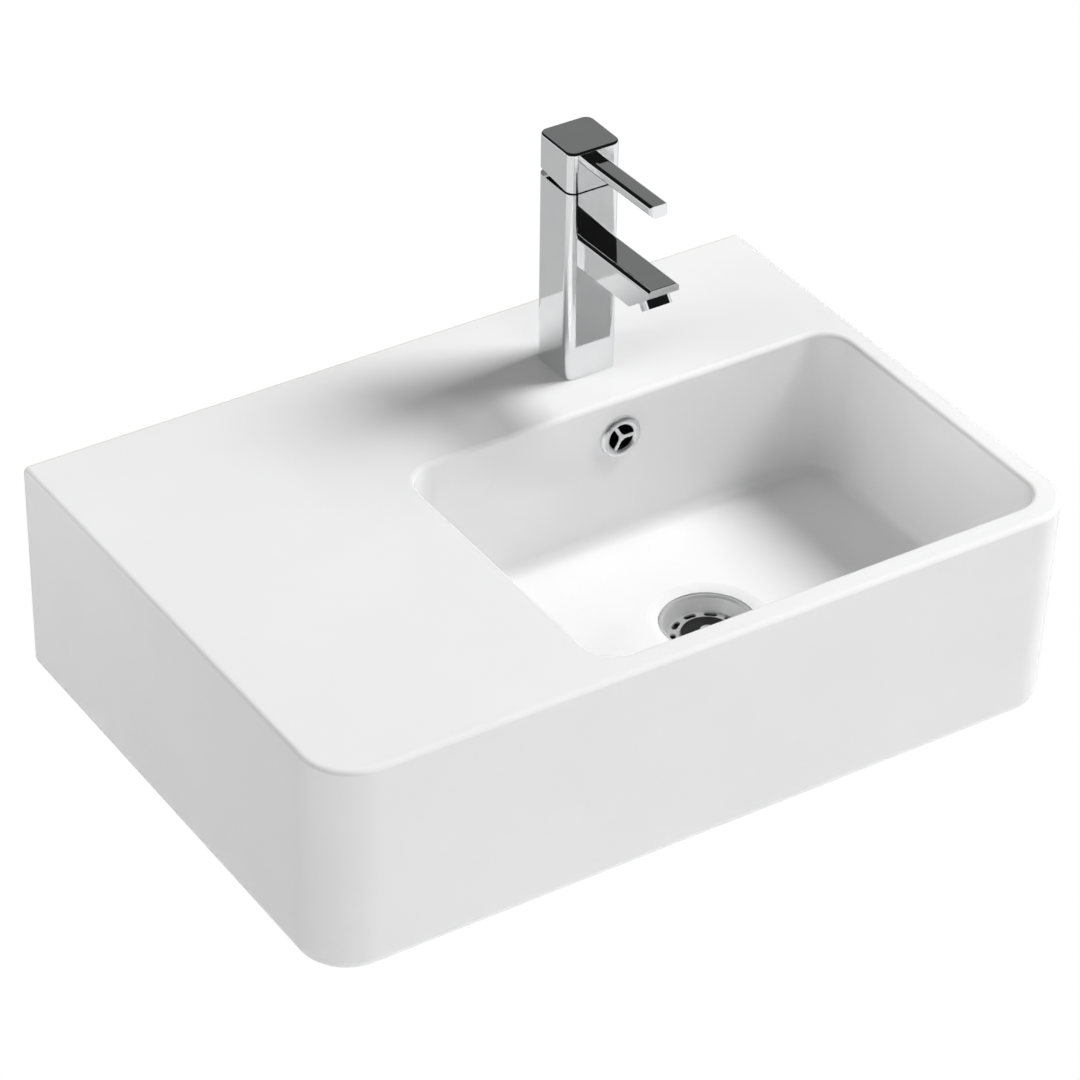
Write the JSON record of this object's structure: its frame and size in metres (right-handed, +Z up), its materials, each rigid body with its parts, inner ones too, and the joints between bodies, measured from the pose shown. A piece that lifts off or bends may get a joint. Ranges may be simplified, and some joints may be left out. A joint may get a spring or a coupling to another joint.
{
  "type": "wall-hung basin",
  "caption": "Wall-hung ceramic basin with a side shelf, an off-centre bowl, an overflow ring, a sieve waste and a square single-lever tap that lifts and turns.",
  "frame": {"origin": "middle of the two wall bolt holes, on the rear face", "axes": "+X to the right along the wall seen from the front, +Y into the wall, +Z up"},
  "size_m": [0.6, 0.4198, 0.409],
  "materials": {
    "ceramic": "gloss",
    "chrome": "polished",
    "zinc": "zinc plated",
    "brass": "machined",
    "rubber": "matte",
    "plastic": "matte",
    "disc": "lapped"
  },
  "bodies": {
    "fixed": {"basin": "ceramic", "overflow_ring": "chrome", "waste_cup": "chrome", "waste_screw": "chrome", "waste_top_washer": "rubber", "waste_bottom_washer": "rubber", "waste_body": "chrome", "tap_body": "chrome", "tap_base_seal": "rubber", "fixing_stud": "zinc", "horseshoe_rubber": "rubber", "horseshoe_plate": "zinc", "fixing_nut": "brass", "cartridge_housing": "plastic", "cartridge_base": "plastic", "port_seals": "rubber", "fixed_disc": "disc", "cartridge_nut": "brass", "aerator_housing": "chrome", "aerator_insert": "plastic", "aerator_washer": "rubber"},
    "turret": {"turret": "plastic", "pivot_pin": "zinc"},
    "lever": {"lever_stem": "brass", "handle": "chrome", "grub_screw": "zinc", "screw_cover": "chrome"},
    "disc": {"disc_carrier": "plastic", "moving_disc": "disc"}
  },
  "joints": [
    {"name": "temperature_turn", "type": "hinge", "parent": "fixed", "child": "turret", "pos_m": [0.101, -0.0835, 0.221], "axis": [0, 0, 1], "range_deg": [-45, 45]},
    {"name": "flow_lift", "type": "hinge", "parent": "turret", "child": "lever", "pos_m": [0.101, -0.0835, 0.211], "axis": [-1, 0, 0], "range_deg": [0, 13]},
    {"name": "disc_slide", "type": "slide", "parent": "turret", "child": "disc", "axis": [0, -1, 0], "range_m": [0, 0.0021]}
  ],
  "couplings": [
    {"joint": "disc_slide", "follows": "flow_lift", "m_per_rad": 0.009}
  ]
}
